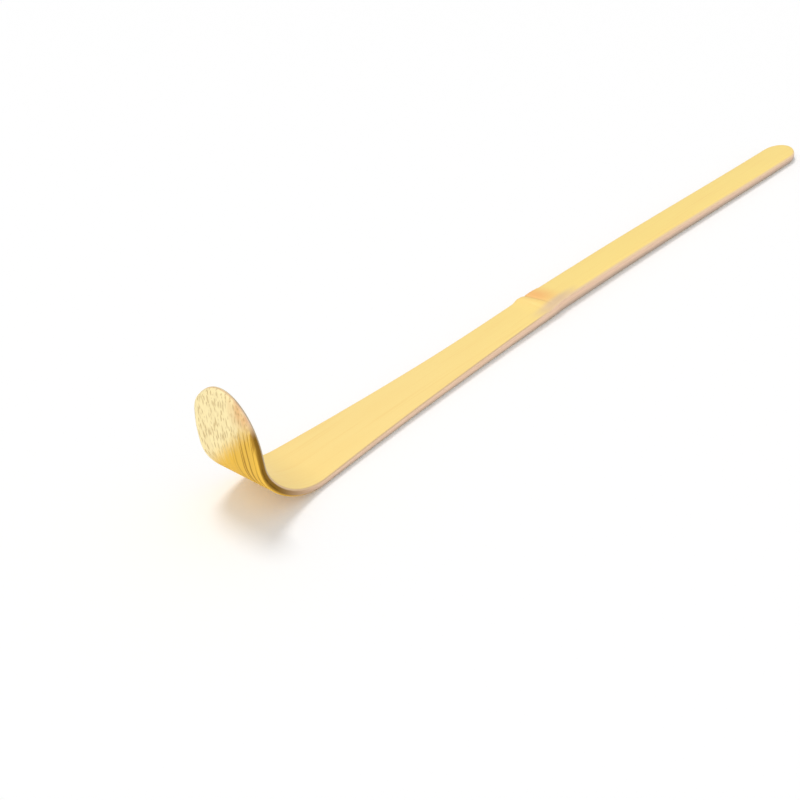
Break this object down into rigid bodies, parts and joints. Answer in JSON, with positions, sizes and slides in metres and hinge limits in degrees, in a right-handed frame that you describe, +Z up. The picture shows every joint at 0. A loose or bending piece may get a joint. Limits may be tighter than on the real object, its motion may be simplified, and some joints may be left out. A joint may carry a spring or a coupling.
{
  "type": "bamboo tea scoop",
  "caption": "Slender bamboo tea scoop: a flat strip bent up at one end into a rounded tip, with a raised node half way and a round handle end.",
  "frame": {"origin": "middle of the footprint, on the surface that the scoop rests on", "axes": "+X along the strip from the bent tip to the handle's end, +Y across the strip, +Z up"},
  "size_m": [0.165, 0.0116, 0.0209],
  "materials": {
    "bamboo_skin": "smooth golden culm skin with a satin gloss",
    "bamboo_fibre": "knife-cut dense fibre, matt, pinkish beige with fine lines",
    "bamboo_inner": "knife-cut pale inner wall, matt, with cut bundles",
    "bamboo_node": "smooth orange ring of the node, satin"
  },
  "bodies": {
    "root": {"blade_skin": "bamboo_skin", "blade_fibre_wall": "bamboo_fibre", "blade_inner_wall": "bamboo_inner", "node_ridge": "bamboo_node", "node_wall": "bamboo_fibre", "node_diaphragm_stub": "bamboo_inner", "handle_skin": "bamboo_skin", "handle_fibre_wall": "bamboo_fibre", "handle_inner_wall": "bamboo_inner"}
  },
  "joints": []
}
